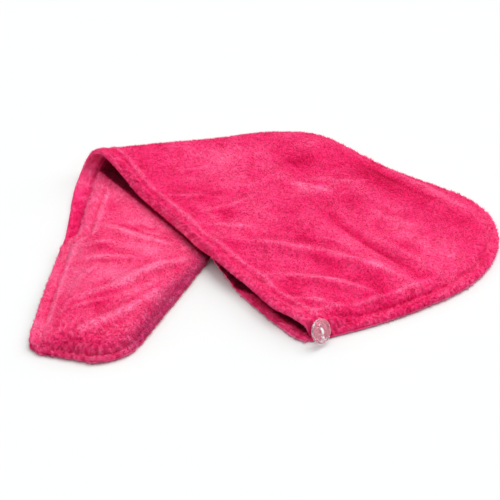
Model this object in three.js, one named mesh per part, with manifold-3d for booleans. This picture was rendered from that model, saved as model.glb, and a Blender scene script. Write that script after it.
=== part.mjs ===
// Hair towel of plush fleece, lying folded once on a flat surface. Millimetres, +Z up.
//
// Two equal panels are sewn together along the cap end, the far edge, the tail end and the
// last stretch of the tail's hem. The rest of the hem is open: it is the mouth for the head.
// The towel is drawn as a flat pattern first. There u runs along the hem from the nape corner
// to the tail end, and v runs across the cloth from the hem. The pattern is then laid down:
// the cap lies in front, the cloth is folded under along the fold line at the back, and the
// tail comes forward again beneath the cap.
import * as THREE from 'three';
import { mergeVertices } from 'three/addons/utils/BufferGeometryUtils.js';
import Module from 'manifold-3d';

const { degToRad, lerp, smoothstep, clamp } = THREE.MathUtils;

// Flat pattern
const LENGTH = 613;          // nape corner to tail end
const CAP_WIDTH = 248.5;     // widest place of the cap
const CAP_BACK = -25.5;      // furthest place of the cap end, behind the nape corner
const NAPE_END = -5.5;       // where the cap end meets the hem
const CAP_BOW = 5;           // outward bow of the cap end
const CORNER = { along: 100, across: 121 };   // half axes of the cap's round corner
const TAIL_CORNER = { along: 44, across: 40 };
const TAPER = 0.3;           // fall of the far edge per millimetre of length
const TAPER_GAIN = 0.00004;  // growth of that fall per millimetre
const END_SLANT = 10;        // the hem side of the tail end is this much shorter
const SLIT_END = 458;        // where the open hem ends and the tail's closed seam starts
const SLIT_RUN = 10;         // the open hem closes over this length each side of that place

// Hem edges of both panels, as their distance across from the straight hem line. In the cap
// the left panel is on top, and in the tail, which is turned over, the right panel is.
const HEM_ROWS = [
  { along: -5.5, left: -2, right: -4 },
  { along: 12, left: 0, right: -6 },
  { along: 40, left: -5, right: -7 },
  { along: 75, left: -3.5, right: -6 },
  { along: 110, left: -5, right: -2 },
  { along: 150, left: -7, right: 3 },
  { along: 215, left: -5, right: 9 },
  { along: 300, left: -1, right: 12 },
  { along: 345, left: -6, right: 12 },
  { along: 445, left: 0, right: 13 },
  { along: 462, left: 0, right: 0 },
  { along: 520, left: -1.5, right: -1.5 },
  { along: 575, left: -2, right: -2 },
  { along: 613, left: 1, right: 1 },
];

// Cloth
const WALL = 3.2;            // one layer of fleece with its pile
const HEM_WALL = 4.6;        // the turned and stitched hem band
const HEM_BAND = 15;         // width of that band
const BAND_STEP = 3;         // half the run over which it thins to one layer
const SEAM_THICKNESS = 5.6;  // both layers pressed together at a seam
const LAYER_GAP = 0.3;       // least gap between the two panels
const SEAM_EDGE = { radius: 3, least: 0.4 };   // rounding of the pressed layers at a seam
const HEM_EDGE = { radius: 2.5, least: 0.35 }; // rounding of one panel at its hem
const SEAM_LIP = 10;         // topstitched lip along the cap end
const NAPE_LIP = 2;
const TAIL_LIP = 4.5;

// Lay of the folded towel
const NAPE = new THREE.Vector2(18, -142.3);
const HEM_DIRECTION = degToRad(125.46);
const FOLD_DIRECTION = degToRad(15.5);
const FOLD_AT = 302.2;       // length of hem between the nape corner and the fold
const FOLD_SKEW = 6.5;       // sideways slip of the tail in the fold
const HEM_SHIFT = { cap: 0.67, tail: 0.3 };   // share of the cap and tail where hem edges adjust
const ARCH_REACH = 15;       // how far the fold stands out at the back
const ARCH_RISE = 9;
const ARCH_CENTRE = { hem: 25, middle: 20.5, far: 9.2 };   // height of the cloth's middle
const ARCH_FALL = { from: -125, to: 5 };      // the arch sinks from hem to middle along here
const ARCH_ROLL = 95;        // run from the far seam to the full arch
const FOLD_SLOPE = 62;       // run over which the cap climbs to the fold
const CAP_THICKNESS = 15.5;  // both layers with the air between them
const CAP_OVER_TAIL = 10.5;
const CAP_ROLL = 44;         // run from a seam to the full thickness
const MOUTH_ROLL = 9;        // the same where the cap end meets the mouth
const MOUTH_REACH = { from: 18, to: 60 };     // the mouth's roll turns into the cap's here
const TAIL_THICKNESS = 17;
const TAIL_HEM_THICKNESS = 11;
const TAIL_HEM_REACH = { from: 5, to: 45 };   // the tail thickens from its hem to its middle
const TAIL_UNDER_CAP = 8.6;  // pressed by the cap
const TAIL_PRESS = { from: 6, to: 40 };       // that thickness is reached from the seam here
const TAIL_FREE = { from: 2, to: 50 };        // the tail swells in front of the cap's hem
const TAIL_ROLL = 26;
const SUPPORT = { edge: 6.6, middle: 9.6 };   // the tail carries the cap at these heights
const SUPPORT_REACH = { from: 2, to: 34 };    // from the tail's edge to its middle
const DRAPE = 38;            // run over which the cap sinks from the tail to the floor
const DRAPE_CREST = { height: 2, thickness: 12 };  // how far inside the tail's edge it starts
const HEM_BULGE = 8;         // the cap's hem stands this far in front of its straight line

// Folds that stand out of the upper surface, negative where the cloth dips
const FOLD_ROWS = [
  { panel: 'left', from: [136, 20], to: [-8, 112], bow: -11, height: 4.0, width: 9 },
  { panel: 'left', from: [75, 14], to: [-2, 76], bow: -6, height: 2.8, width: 7 },
  { panel: 'left', from: [64, 127], to: [3, 135], bow: 0, height: 1.2, width: 8 },
  { panel: 'left', from: [100, 114], to: [20, 120], bow: 2, height: -2.2, width: 6 },
  { panel: 'left', from: [180, 122], to: [146, 142], bow: 0, height: 2.0, width: 9 },
  { panel: 'left', from: [176, 136], to: [144, 173], bow: 0, height: 1.8, width: 8 },
  { panel: 'left', from: [178, 199], to: [76, 211], bow: 0, height: -2.4, width: 8 },
  { panel: 'left', from: [221, 12], to: [190, 53], bow: 0, height: 1.6, width: 5 },
  { panel: 'left', from: [181, 15], to: [178, 86], bow: 3, height: 1.5, width: 5 },
  { panel: 'left', from: [167, 13], to: [137, 50], bow: 0, height: 1.6, width: 5 },
  { panel: 'left', from: [40, 8], to: [-6, 42], bow: -3, height: 2.0, width: 5 },
  { panel: 'left', from: [-2, 63], to: [-14, 101], bow: 0, height: 1.2, width: 5 },
  { panel: 'right', from: [437, 36], to: [452, 100], bow: -4, height: 2.6, width: 6 },
  { panel: 'right', from: [465, 27], to: [464, 48], bow: 0, height: 1.4, width: 4 },
  { panel: 'right', from: [487, 26], to: [486, 68], bow: -1, height: 2.0, width: 5 },
  { panel: 'right', from: [466, 112], to: [550, 26], bow: 10, height: 3.6, width: 6 },
  { panel: 'right', from: [542, 60], to: [559, 26], bow: 3, height: 1.8, width: 4 },
  { panel: 'right', from: [488, 117], to: [591, 40], bow: 11, height: 3.6, width: 7 },
];
const FOLD_FOOT = 1.7;       // a fold ends at this many widths from its crest
const FOLD_TIP = 0.03;       // share of its length where a fold already has some height
const FOLD_FREE = { from: 6, to: 22 };        // folds fade out towards a seam
const COVERED = { from: -2, to: 14 };         // and under the cap

// Button at the nape corner
const BUTTON = { radius: 9.8, thickness: 2.8, rim: 2.1, recess: 0.8, edge: 0.7, sides: 32 };
const BUTTON_HOLE = { radius: 1.0, spacing: 5.6, sides: 10 };
const BUTTON_CENTRE = new THREE.Vector3(31.8, -145.6, 12.1);
const BUTTON_NORMAL = new THREE.Vector3(0.68, -0.62, 0.4).normalize();
const THREAD = { radius: 0.55, rise: 1.3, root: 3.0, sides: 8, steps: 24 };
const THREAD_BEND = [{ out: 0.94, up: 0 }, { out: 0.6, up: 0.8 }];   // shares of hole and rise

// Directions in plan
const along = new THREE.Vector2(Math.cos(HEM_DIRECTION), Math.sin(HEM_DIRECTION));
const across = new THREE.Vector2(along.y, -along.x);
const fold = new THREE.Vector2(Math.cos(FOLD_DIRECTION), Math.sin(FOLD_DIRECTION));
const rear = new THREE.Vector2(-fold.y, fold.x);
const foldStart = FOLD_AT * along.dot(rear);
const archLength = Math.PI * Math.hypot(ARCH_REACH, ARCH_RISE) / Math.SQRT2;
const foldEnd = foldStart + archLength;

// A quarter circle as a height: 0 at a seam, 1 where the cloth has its full thickness
function roll(x) {
  const k = clamp(x, 0, 1);
  return Math.sqrt(1 - (1 - k) ** 2);
}

function hemEdge(u, panel) {
  const next = HEM_ROWS.findIndex((row) => row.along > u);
  const i = next < 0 ? HEM_ROWS.length - 2 : Math.max(next - 1, 0);
  const [a, b] = [HEM_ROWS[i], HEM_ROWS[i + 1]];
  return lerp(a[panel], b[panel], smoothstep(u, a.along, b.along));
}

// Far edge: round cap corner, slightly curved taper, round tail corner
const capCentre = { u: CAP_BACK + CORNER.along, v: CAP_WIDTH - CORNER.across };
const capTurn = Math.atan(TAPER * CORNER.along / CORNER.across);
const taperStart = {
  u: capCentre.u + CORNER.along * Math.sin(capTurn),
  v: capCentre.v + CORNER.across * Math.cos(capTurn),
};
function farV(u) {
  const run = u - taperStart.u;
  return taperStart.v - TAPER * run - TAPER_GAIN * run ** 2;
}
const farFall = (u) => TAPER + 2 * TAPER_GAIN * (u - taperStart.u);
const tailCentre = { u: LENGTH - TAIL_CORNER.along };
const tailTurn = Math.atan(farFall(tailCentre.u) * TAIL_CORNER.along / TAIL_CORNER.across);
const taperEnd = tailCentre.u + TAIL_CORNER.along * Math.sin(tailTurn);
tailCentre.v = farV(taperEnd) - TAIL_CORNER.across * Math.cos(tailTurn);

function farEdgePath() {
  const path = new THREE.Path();
  path.absellipse(capCentre.u, capCentre.v, CORNER.along, CORNER.across,
    Math.PI, Math.PI / 2 - capTurn, true);
  const middle = (taperStart.u + taperEnd) / 2;
  path.quadraticCurveTo(middle, taperStart.v - TAPER * (middle - taperStart.u),
    taperEnd, farV(taperEnd));
  path.absellipse(tailCentre.u, tailCentre.v, TAIL_CORNER.along, TAIL_CORNER.across,
    Math.PI / 2 - tailTurn, 0, true);
  path.arcLengthDivisions = 800;
  return path;
}
const farEdge = farEdgePath();
const PAST_CORNER = 0.2;     // share of the far edge that surely lies beyond the cap's corner
const HALVINGS = 40;

// Position along the far edge, 0 to 1, where it crosses a line parallel to the fold
function farEdgeAt(distance) {
  let [low, high] = [PAST_CORNER, 1];
  for (let step = 0; step < HALVINGS; step += 1) {
    const middle = (low + high) / 2;
    const p = farEdge.getPointAt(middle);
    if (p.x * along.dot(rear) + p.y * across.dot(rear) < distance) low = middle;
    else high = middle;
  }
  return low;
}

// The pattern has three blocks: cap, fold and tail, each ruled from the hem to the far edge
const BLOCKS = [
  { hem: [NAPE_END, foldStart / along.dot(rear)], far: [0, farEdgeAt(foldStart)] },
  { hem: [foldStart / along.dot(rear), foldEnd / along.dot(rear)],
    far: [farEdgeAt(foldStart), farEdgeAt(foldEnd)] },
  { hem: [foldEnd / along.dot(rear), LENGTH - END_SLANT], far: [farEdgeAt(foldEnd), 1] },
];

const [CAP, , TAIL] = BLOCKS;

// In the fold a hem point slides along its own ruled line, so that the blocks meet
function hemSlide(block, k) {
  if (block === CAP) return smoothstep(k, HEM_SHIFT.cap, 1);
  if (block === TAIL) return 1 - smoothstep(k, 0, HEM_SHIFT.tail);
  return 1;
}

function column(block, k, panel) {
  const u = lerp(...block.hem, k);
  const v = hemEdge(u, panel);
  const slide = hemSlide(block, k) * v * across.dot(rear) / along.dot(rear);
  return {
    hem: new THREE.Vector2(u - slide, v),
    far: farEdge.getPointAt(lerp(...block.far, k)),
    bow: block === CAP ? CAP_BOW * (1 - k) ** 6 : 0,
  };
}

function patternPoint(edges, t) {
  const point = edges.hem.clone().lerp(edges.far, t);
  point.x -= edges.bow * Math.sin(Math.PI * t);
  return point;
}

const CAP_END_STEPS = 12;
const FAR_EDGE_STEPS = 120;

// Sewn edge as a line of points: cap end, far edge and tail end
function seamLine() {
  const capEnd = column(CAP, 0, 'left');
  const points = [];
  for (let i = 0; i < CAP_END_STEPS; i += 1) points.push(patternPoint(capEnd, i / CAP_END_STEPS));
  points.push(...farEdge.getSpacedPoints(FAR_EDGE_STEPS));
  points.push(new THREE.Vector2(LENGTH - END_SLANT, 0));
  return points;
}
const seam = seamLine();

function seamDistance(point) {
  let best = Infinity;
  for (let i = 1; i < seam.length; i += 1) {
    const edge = seam[i].clone().sub(seam[i - 1]);
    const offset = point.clone().sub(seam[i - 1]);
    const k = clamp(offset.dot(edge) / edge.lengthSq(), 0, 1);
    best = Math.min(best, offset.addScaledVector(edge, -k).length());
  }
  return best;
}

// Where a pattern point comes to lie: p along the fold line and q towards the rear, from the nape
function lay(point) {
  const p = point.x * along.dot(fold) + point.y * across.dot(fold);
  const travel = point.x * along.dot(rear) + point.y * across.dot(rear);
  const turn = Math.PI * clamp((travel - foldStart) / archLength, 0, 1);
  let q = travel;
  if (travel > foldEnd) q = foldStart - (travel - foldEnd);
  else if (travel > foldStart) q = foldStart + ARCH_REACH * Math.sin(turn);
  return { p: p - FOLD_SKEW * turn / Math.PI, q, turn, travel };
}

const within = (x, reach) => smoothstep(x, reach.from, reach.to);

// Straight part of the tail's far edge in plan, and the distance to its right
const TAIL_EDGE_AT = [300, 500];
const tailEdge = TAIL_EDGE_AT.map((u) => {
  const flat = new THREE.Vector2(u, farV(u));
  const travel = flat.x * along.dot(rear) + flat.y * across.dot(rear);
  const p = flat.x * along.dot(fold) + flat.y * across.dot(fold) - FOLD_SKEW;
  return new THREE.Vector2(p, foldStart - (travel - foldEnd));
});
const tailEdgeWay = tailEdge[1].clone().sub(tailEdge[0]).normalize();

function rightOfTail(place) {
  const [x, y] = [tailEdge[0].x - place.p, tailEdge[0].y - place.q];
  return x * tailEdgeWay.y - y * tailEdgeWay.x;
}

// Distance in front of the cap's hem
function beforeHem(place) {
  return -(place.p * fold.dot(across) + place.q * rear.dot(across)) - HEM_BULGE;
}

// Thickness of the cap over both layers, and the height of its underside
function capSection(place, point, edge) {
  const right = rightOfTail(place);
  const besideTail = smoothstep(right, -DRAPE_CREST.thickness, DRAPE);
  const full = lerp(CAP_OVER_TAIL, CAP_THICKNESS, besideTail);
  const inCap = within(point.y, MOUTH_REACH);
  const run = lerp(MOUTH_ROLL, CAP_ROLL, inCap);
  const lip = lerp(NAPE_LIP, SEAM_LIP, inCap);
  const thickness = SEAM_THICKNESS + (full - SEAM_THICKNESS) * roll((edge - lip) / run);
  const lift = SUPPORT.edge * (1 - smoothstep(right, -DRAPE_CREST.height, DRAPE))
    + (SUPPORT.middle - SUPPORT.edge) * within(-right, SUPPORT_REACH);
  return { thickness, lift };
}

function tailThickness(place, point, edge) {
  const full = lerp(TAIL_HEM_THICKNESS, TAIL_THICKNESS, within(point.y, TAIL_HEM_REACH));
  const puffed = full - SEAM_THICKNESS;
  const open = SEAM_THICKNESS + puffed * roll((edge - TAIL_LIP) / TAIL_ROLL);
  const pressed = lerp(SEAM_THICKNESS, TAIL_UNDER_CAP, within(edge, TAIL_PRESS));
  const free = lerp(pressed, open, within(beforeHem(place), TAIL_FREE));
  const closed = SEAM_THICKNESS + puffed * roll((point.y - SEAM_LIP) / TAIL_ROLL);
  const pastSlit = smoothstep(point.x, SLIT_END - SLIT_RUN, SLIT_END + SLIT_RUN);
  return lerp(free, Math.min(free, closed), pastSlit);
}

// Thickness of both layers and height of the middle between them
function section(point, place, edge) {
  const cap = capSection(place, point, edge);
  const tail = tailThickness(place, point, edge);
  const shoulder = lerp(ARCH_CENTRE.hem, ARCH_CENTRE.middle, within(place.p, ARCH_FALL));
  const arch = lerp(ARCH_CENTRE.far, shoulder, roll(edge / ARCH_ROLL));
  const half = (arch - tail / 2) / 2;
  if (place.travel > foldEnd) return { thickness: tail, middle: tail / 2, half };
  if (place.travel > foldStart) {
    const thickness = lerp(cap.thickness, tail, place.turn / Math.PI);
    return { thickness, middle: (arch + tail / 2) / 2 + half * Math.cos(place.turn), half };
  }
  const climb = smoothstep(place.travel, foldStart - FOLD_SLOPE, foldStart - 1);
  return { thickness: cap.thickness, middle: lerp(cap.lift + cap.thickness / 2, arch, climb), half };
}

function foldHeight(point, panel) {
  let height = 0;
  for (const row of FOLD_ROWS.filter((item) => item.panel === panel)) {
    const start = new THREE.Vector2(...row.from);
    const way = new THREE.Vector2(...row.to).sub(start);
    const length = way.length();
    way.divideScalar(length);
    const offset = point.clone().sub(start);
    const k = clamp(offset.dot(way) / length, 0, 1);
    const side = way.cross(offset) - row.bow * 4 * k * (1 - k);
    const beyond = offset.dot(way) - k * length;
    const reach = 1 - (side ** 2 + beyond ** 2) / (FOLD_FOOT * row.width) ** 2;
    const swell = Math.sqrt(Math.sin(Math.PI * lerp(FOLD_TIP, 1 - FOLD_TIP, k)));
    height += row.height * Math.max(reach, 0) ** 2 * swell;
  }
  return height;
}

// Share of the thickness that is left near a rounded edge
const rounded = (distance, edge) => lerp(edge.least, 1, roll(distance / edge.radius));

const FLOOR_SNAP = 1e-6;

// Outer and inner surface point of one panel
function clothPoint(point, panel) {
  const place = lay(point);
  const edge = seamDistance(point);
  const { thickness, middle, half } = section(point, place, edge);
  const hem = point.y - hemEdge(point.x, panel);
  const full = thickness * rounded(edge, SEAM_EDGE);
  const inward = smoothstep(hem, HEM_BAND - BAND_STEP, HEM_BAND + BAND_STEP);
  const wall = Math.min(lerp(HEM_WALL, WALL, inward), (full - LAYER_GAP) / 2);
  let rise = foldHeight(point, panel) * within(edge, FOLD_FREE);
  if (panel === 'right') rise *= within(beforeHem(place), COVERED);
  rise = Math.max(rise, wall + LAYER_GAP / 2 - full / 2);
  const core = full / 2 - wall / 2 + rise;
  const halfWall = wall / 2 * rounded(hem, HEM_EDGE);
  const side = panel === 'left' ? 1 : -1;
  const lean = new THREE.Vector2(
    Math.sin(place.turn) / ARCH_REACH,
    Math.cos(place.turn) / Math.max(half, 1),
  ).normalize();
  const at = (w) => {
    const q = place.q + side * w * lean.x;
    const height = middle + side * w * lean.y;
    const plan = NAPE.clone().addScaledVector(fold, place.p).addScaledVector(rear, q);
    return new THREE.Vector3(plan.x, plan.y, Math.abs(height) < FLOOR_SNAP ? 0 : height);
  };
  return { outer: at(core + halfWall), inner: at(core - halfWall) };
}

// Stations in millimetres from each edge of the cloth, and the count of even steps between them
const HEM_STATIONS = [0, 2.5, 12, 17, 27];
const FAR_STATIONS = [0, 3, 10, 14, 22, 34];
const CAP_STATIONS = [0, 3, 10, 15, 24];
const END_STATIONS = [0, 1.5, 4.5, 9, 14, 23];
const STEPS = { cap: 24, fold: 8, tail: 18, across: 10 };
const FULL_SPAN = 130;       // in a shorter span the stations near its edges close up

// Stations between two edges: close together near both, even in between
function stations(length, nearStart, nearEnd, count) {
  const squeeze = Math.min(1, length / FULL_SPAN);
  const start = nearStart.map((d) => d * squeeze / length);
  const end = nearEnd.map((d) => 1 - d * squeeze / length);
  const [first, last] = [start.at(-1), end.at(-1)];
  const between = Array.from({ length: count - 1 }, (_, i) => lerp(first, last, (i + 1) / count));
  return [...start, ...between, ...end.reverse()];
}

function panelColumns(panel) {
  const spans = BLOCKS.map((block) => block.hem[1] - block.hem[0]);
  const fractions = [
    stations(spans[0], CAP_STATIONS, [0], STEPS.cap),
    stations(spans[1], [0], [0], STEPS.fold),
    stations(spans[2], [0], END_STATIONS, STEPS.tail),
  ];
  const columns = [];
  fractions.forEach((list, b) => {
    const kept = b === 0 ? list : list.slice(1);
    kept.forEach((k) => columns.push(column(BLOCKS[b], k, panel)));
  });
  return columns;
}

function panelGeometry(panel) {
  const columns = panelColumns(panel);
  const grid = columns.map((edges) => {
    const width = edges.hem.distanceTo(edges.far);
    const rows = stations(width, HEM_STATIONS, FAR_STATIONS, STEPS.across);
    return rows.map((t) => {
      const flat = patternPoint(edges, t);
      return { flat, ...clothPoint(flat, panel) };
    });
  });
  const [m, n] = [grid.length, grid[0].length];
  const positions = [];
  for (const layer of ['outer', 'inner']) {
    for (const line of grid) line.forEach((node) => positions.push(...node[layer].toArray()));
  }
  const outer = (i, j) => i * n + j;
  const inner = (i, j) => m * n + i * n + j;
  const indices = [];
  const quad = (a, b, c, d) => {
    if (panel === 'left') indices.push(a, c, b, a, d, c);
    else indices.push(a, b, c, a, c, d);
  };
  for (let i = 0; i < m - 1; i += 1) {
    for (let j = 0; j < n - 1; j += 1) {
      const straight = grid[i][j].flat.distanceTo(grid[i + 1][j + 1].flat)
        <= grid[i + 1][j].flat.distanceTo(grid[i][j + 1].flat);
      const ring = [[i, j], [i + 1, j], [i + 1, j + 1], [i, j + 1]];
      if (!straight) ring.push(ring.shift());
      quad(...ring.map(([a, b]) => outer(a, b)));
      quad(...ring.map(([a, b]) => inner(a, b)).reverse());
    }
  }
  for (let i = 0; i < m - 1; i += 1) {
    quad(outer(i, 0), inner(i, 0), inner(i + 1, 0), outer(i + 1, 0));
    quad(outer(i + 1, n - 1), inner(i + 1, n - 1), inner(i, n - 1), outer(i, n - 1));
  }
  for (let j = 0; j < n - 1; j += 1) {
    quad(outer(0, j + 1), inner(0, j + 1), inner(0, j), outer(0, j));
    quad(outer(m - 1, j), inner(m - 1, j), inner(m - 1, j + 1), outer(m - 1, j + 1));
  }
  const geometry = new THREE.BufferGeometry();
  geometry.setAttribute('position', new THREE.Float32BufferAttribute(positions, 3));
  geometry.setIndex(indices);
  geometry.computeVertexNormals();
  return geometry;
}

const WELD = 1e-4;
const wasm = await Module();
wasm.setup();

function toSolid(geometry) {
  const bare = geometry.index ? geometry.clone() : geometry;
  bare.deleteAttribute('normal');
  bare.deleteAttribute('uv');
  const welded = mergeVertices(bare, WELD);
  return new wasm.Manifold(new wasm.Mesh({
    numProp: 3,
    vertProperties: new Float32Array(welded.attributes.position.array),
    triVerts: new Uint32Array(welded.index.array),
  }));
}

function toGeometry(solid) {
  const mesh = solid.getMesh();
  const geometry = new THREE.BufferGeometry();
  const corners = new Float32Array(mesh.vertProperties);
  geometry.setAttribute('position', new THREE.BufferAttribute(corners, 3));
  geometry.setIndex(new THREE.BufferAttribute(new Uint32Array(mesh.triVerts), 1));
  geometry.computeVertexNormals();
  return geometry;
}

// Disc with a raised rim and two thread holes, its axis along Y
function buttonGeometry() {
  const { radius, thickness, rim, recess, edge } = BUTTON;
  const top = thickness / 2;
  const profile = [
    [0, -top],
    [radius - edge, -top],
    [radius, -top + edge],
    [radius, top - edge],
    [radius - edge, top],
    [radius - rim, top],
    [radius - rim - recess, top - recess],
    [0, top - recess],
  ].map(([x, y]) => new THREE.Vector2(x, y));
  let disc = toSolid(new THREE.LatheGeometry(profile, BUTTON.sides));
  for (const side of [-1, 1]) {
    const hole = new THREE.CylinderGeometry(BUTTON_HOLE.radius, BUTTON_HOLE.radius,
      2 * thickness, BUTTON_HOLE.sides);
    hole.translate(side * BUTTON_HOLE.spacing / 2, 0, 0);
    disc = disc.subtract(toSolid(hole));
  }
  return toGeometry(disc);
}

// One stitch of thick thread through both holes, ending at the cloth behind the button
function threadGeometry() {
  const x = BUTTON_HOLE.spacing / 2;
  const face = BUTTON.thickness / 2 - BUTTON.recess;
  const back = -BUTTON.thickness / 2 - THREAD.root;
  const bend = THREAD_BEND.map(({ out, up }) => [out * x, face + up * THREAD.rise]);
  const half = [[x, back], [x, 0], ...bend];
  const points = [...half, [0, face + THREAD.rise], ...half.map(([a, b]) => [-a, b]).reverse()]
    .map(([a, b]) => new THREE.Vector3(a, b, 0));
  const round = new THREE.Shape();
  round.absarc(0, 0, THREAD.radius, 0, 2 * Math.PI);
  return new THREE.ExtrudeGeometry(round, {
    steps: THREAD.steps,
    curveSegments: THREAD.sides,
    bevelEnabled: false,
    extrudePath: new THREE.CatmullRomCurve3(points),
  });
}

// Turns a piece that was made about the Y axis to face along the button's normal
function seatButton(mesh) {
  const upward = new THREE.Vector3(0, 0, 1).projectOnPlane(BUTTON_NORMAL).normalize();
  const sideways = new THREE.Vector3().crossVectors(upward, BUTTON_NORMAL);
  mesh.quaternion.setFromRotationMatrix(
    new THREE.Matrix4().makeBasis(upward, BUTTON_NORMAL, sideways));
  mesh.position.copy(BUTTON_CENTRE);
  return mesh;
}

const fleece = { color: 0xf23b74, roughness: 0.95, metalness: 0 };
const MATERIALS = {
  left_panel: fleece,
  right_panel: fleece,
  button: { color: 0xf3dbe6, roughness: 0.12, metalness: 0 },
  button_thread: { color: 0xf7f4f2, roughness: 0.7, metalness: 0 },
};

function piece(name, geometry) {
  const mesh = new THREE.Mesh(geometry, new THREE.MeshStandardMaterial(MATERIALS[name]));
  mesh.name = name;
  return mesh;
}

const towel = new THREE.Group();
towel.name = 'hair_towel';
towel.add(piece('left_panel', panelGeometry('left')));
towel.add(piece('right_panel', panelGeometry('right')));
towel.add(seatButton(piece('button', buttonGeometry())));
towel.add(seatButton(piece('button_thread', threadGeometry())));

// The origin is on the floor, below the middle of the towel's box
const box = new THREE.Box3().setFromObject(towel, true);
const middle = box.getCenter(new THREE.Vector3());
towel.position.set(-middle.x, -middle.y, 0);

export default towel;
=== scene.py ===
# Looks of a plush fleece hair towel that lies folded once on a pale floor.
# The towel is worked out as a flat pattern in millimetres, with u along the hem from the nape
# corner to the tail end and v across the cloth, and it is then laid down as the CAD part is.
# The left panel is uppermost in the cap, and the right one in the tail. A pair of distances, such
# as GAP_FROM, is where a change begins and where it is done, unless a comment says otherwise.
import math

import bpy
import numpy as np
from mathutils import Matrix, Vector


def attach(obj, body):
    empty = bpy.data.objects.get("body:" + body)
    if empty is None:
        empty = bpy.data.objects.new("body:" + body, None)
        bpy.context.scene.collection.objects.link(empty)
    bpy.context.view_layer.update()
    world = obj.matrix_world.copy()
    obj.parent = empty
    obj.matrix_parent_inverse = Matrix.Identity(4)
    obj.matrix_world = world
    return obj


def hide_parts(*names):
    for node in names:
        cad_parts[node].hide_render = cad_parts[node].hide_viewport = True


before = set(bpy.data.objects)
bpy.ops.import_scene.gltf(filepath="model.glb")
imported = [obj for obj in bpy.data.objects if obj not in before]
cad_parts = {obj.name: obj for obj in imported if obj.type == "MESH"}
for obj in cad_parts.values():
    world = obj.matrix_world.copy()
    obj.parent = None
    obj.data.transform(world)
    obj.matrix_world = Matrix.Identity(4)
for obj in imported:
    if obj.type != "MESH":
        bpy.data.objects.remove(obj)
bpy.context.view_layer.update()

MM = 0.001
TINY = 1e-9
SHIFT = np.array([2.255, 0.337])  # from the drawing's origin to the middle of the box

# Flat pattern
LENGTH = 613
CAP_WIDTH = 248.5
CAP_BACK = -25.5
NAPE_END = -5.5
CAP_BOW = {"depth": 5, "power": 6}  # the cap's end bows out
CORNER = (100, 121)  # half axes of the rounded corner, along and across
TAIL_CORNER = (44, 40)  # the same at the tail's end
TAPER = 0.3  # slope of the far edge where it begins, and how it grows
TAPER_GAIN = 0.00004
END_SLANT = 10
SLIT_END = 458  # the hems are free up to here and sewn together from here on
SLIT_RUN = 10
OUTLINE_STEPS = {"cap_end": 24, "cap": 200, "taper": 500, "tail": 100, "far": 241,
                 "search": 4000}
SEARCH_FROM = 0.2  # share of the far edge, near the end of the cap's corner
TAPER_PLACES = (300, 500)  # two places along, both on the taper

# Hem edges: place along the hem, and how far each panel's edge lies across from its line
HEM_ROWS = np.array([
    # along, left, right
    (-5.5, 0.5, -4), (12, 0, -6), (40, -5, -7), (75, -3.5, -6), (110, -5, -2), (150, -7, 3),
    (215, -5, 9), (300, -1, 12), (345, -6, 12), (445, 0, 13), (462, 0, 0), (520, -1.5, -1.5),
    (575, -2, -2), (613, 1, 1),
], float)
HEM_COLUMN = {"left": 1, "right": 2}
SIDE = {"left": 1, "right": -1}  # of the middle between the panels, upwards in the cap

# Cloth
WALL = 3.2
HEM_WALL = 4.6
HEM_BAND = 15
BAND_STEP = 3
SEAM_THICKNESS = 5.6
LAYER_GAP = 0.3
GAP_FROM = (-4, 6)
SEAM_EDGE = (3.2, 0.1)  # radius of the rounding, share of thickness left at the edge
HEM_EDGE = (2.6, 0.06)
SEAM_LIP = 10
NAPE_LIP = 2
TAIL_LIP = 4.5

# Lay of the folded towel
NAPE = np.array([18, -142.3])  # in plan
HEM_DIRECTION = math.radians(125.46)
FOLD_DIRECTION = math.radians(15.5)
FOLD_AT = 302.2  # along the hem
FOLD_SKEW = 6.5  # the tail comes back by this much further left
HEM_SHIFT = {"cap": 0.67, "tail": 0.3}  # share of a block where columns turn to the fold
ARCH_REACH = 15  # half axes of the arch that the cloth makes at the fold
ARCH_RISE = 9
ARCH_CENTRE = {"hem": 25, "middle": 20.5, "far": 9.2}  # height of the middle between layers
ARCH_FALL = (-125, 5)
ARCH_ROLL = 95
FOLD_SLOPE = (62, 1)  # the cap climbs to the arch over this run before the fold
CAP_THICKNESS = 15.5  # over both layers, as all thicknesses of the cap and the tail
CAP_OVER_TAIL = 10.5
CAP_ROLL = 44
MOUTH_ROLL = 9
MOUTH_REACH = (18, 60)
TAIL_THICKNESS = 17
TAIL_HEM_THICKNESS = 11
TAIL_HEM_REACH = (5, 45)
TAIL_UNDER_CAP = 8.6
TAIL_PRESS = (6, 40)
TAIL_FREE = (2, 50)
TAIL_ROLL = 26
SUPPORT = {"edge": 6.6, "middle": 9.6}  # lift of the cap where the tail lies below it
SUPPORT_REACH = (2, 34)
DRAPE = 38  # the cap comes down to the floor within this, right of the tail
DRAPE_CREST = {"height": 2, "thickness": 12}
HEM_BULGE = 8  # the cap's hem reaches this far over its line on the tail

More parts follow.
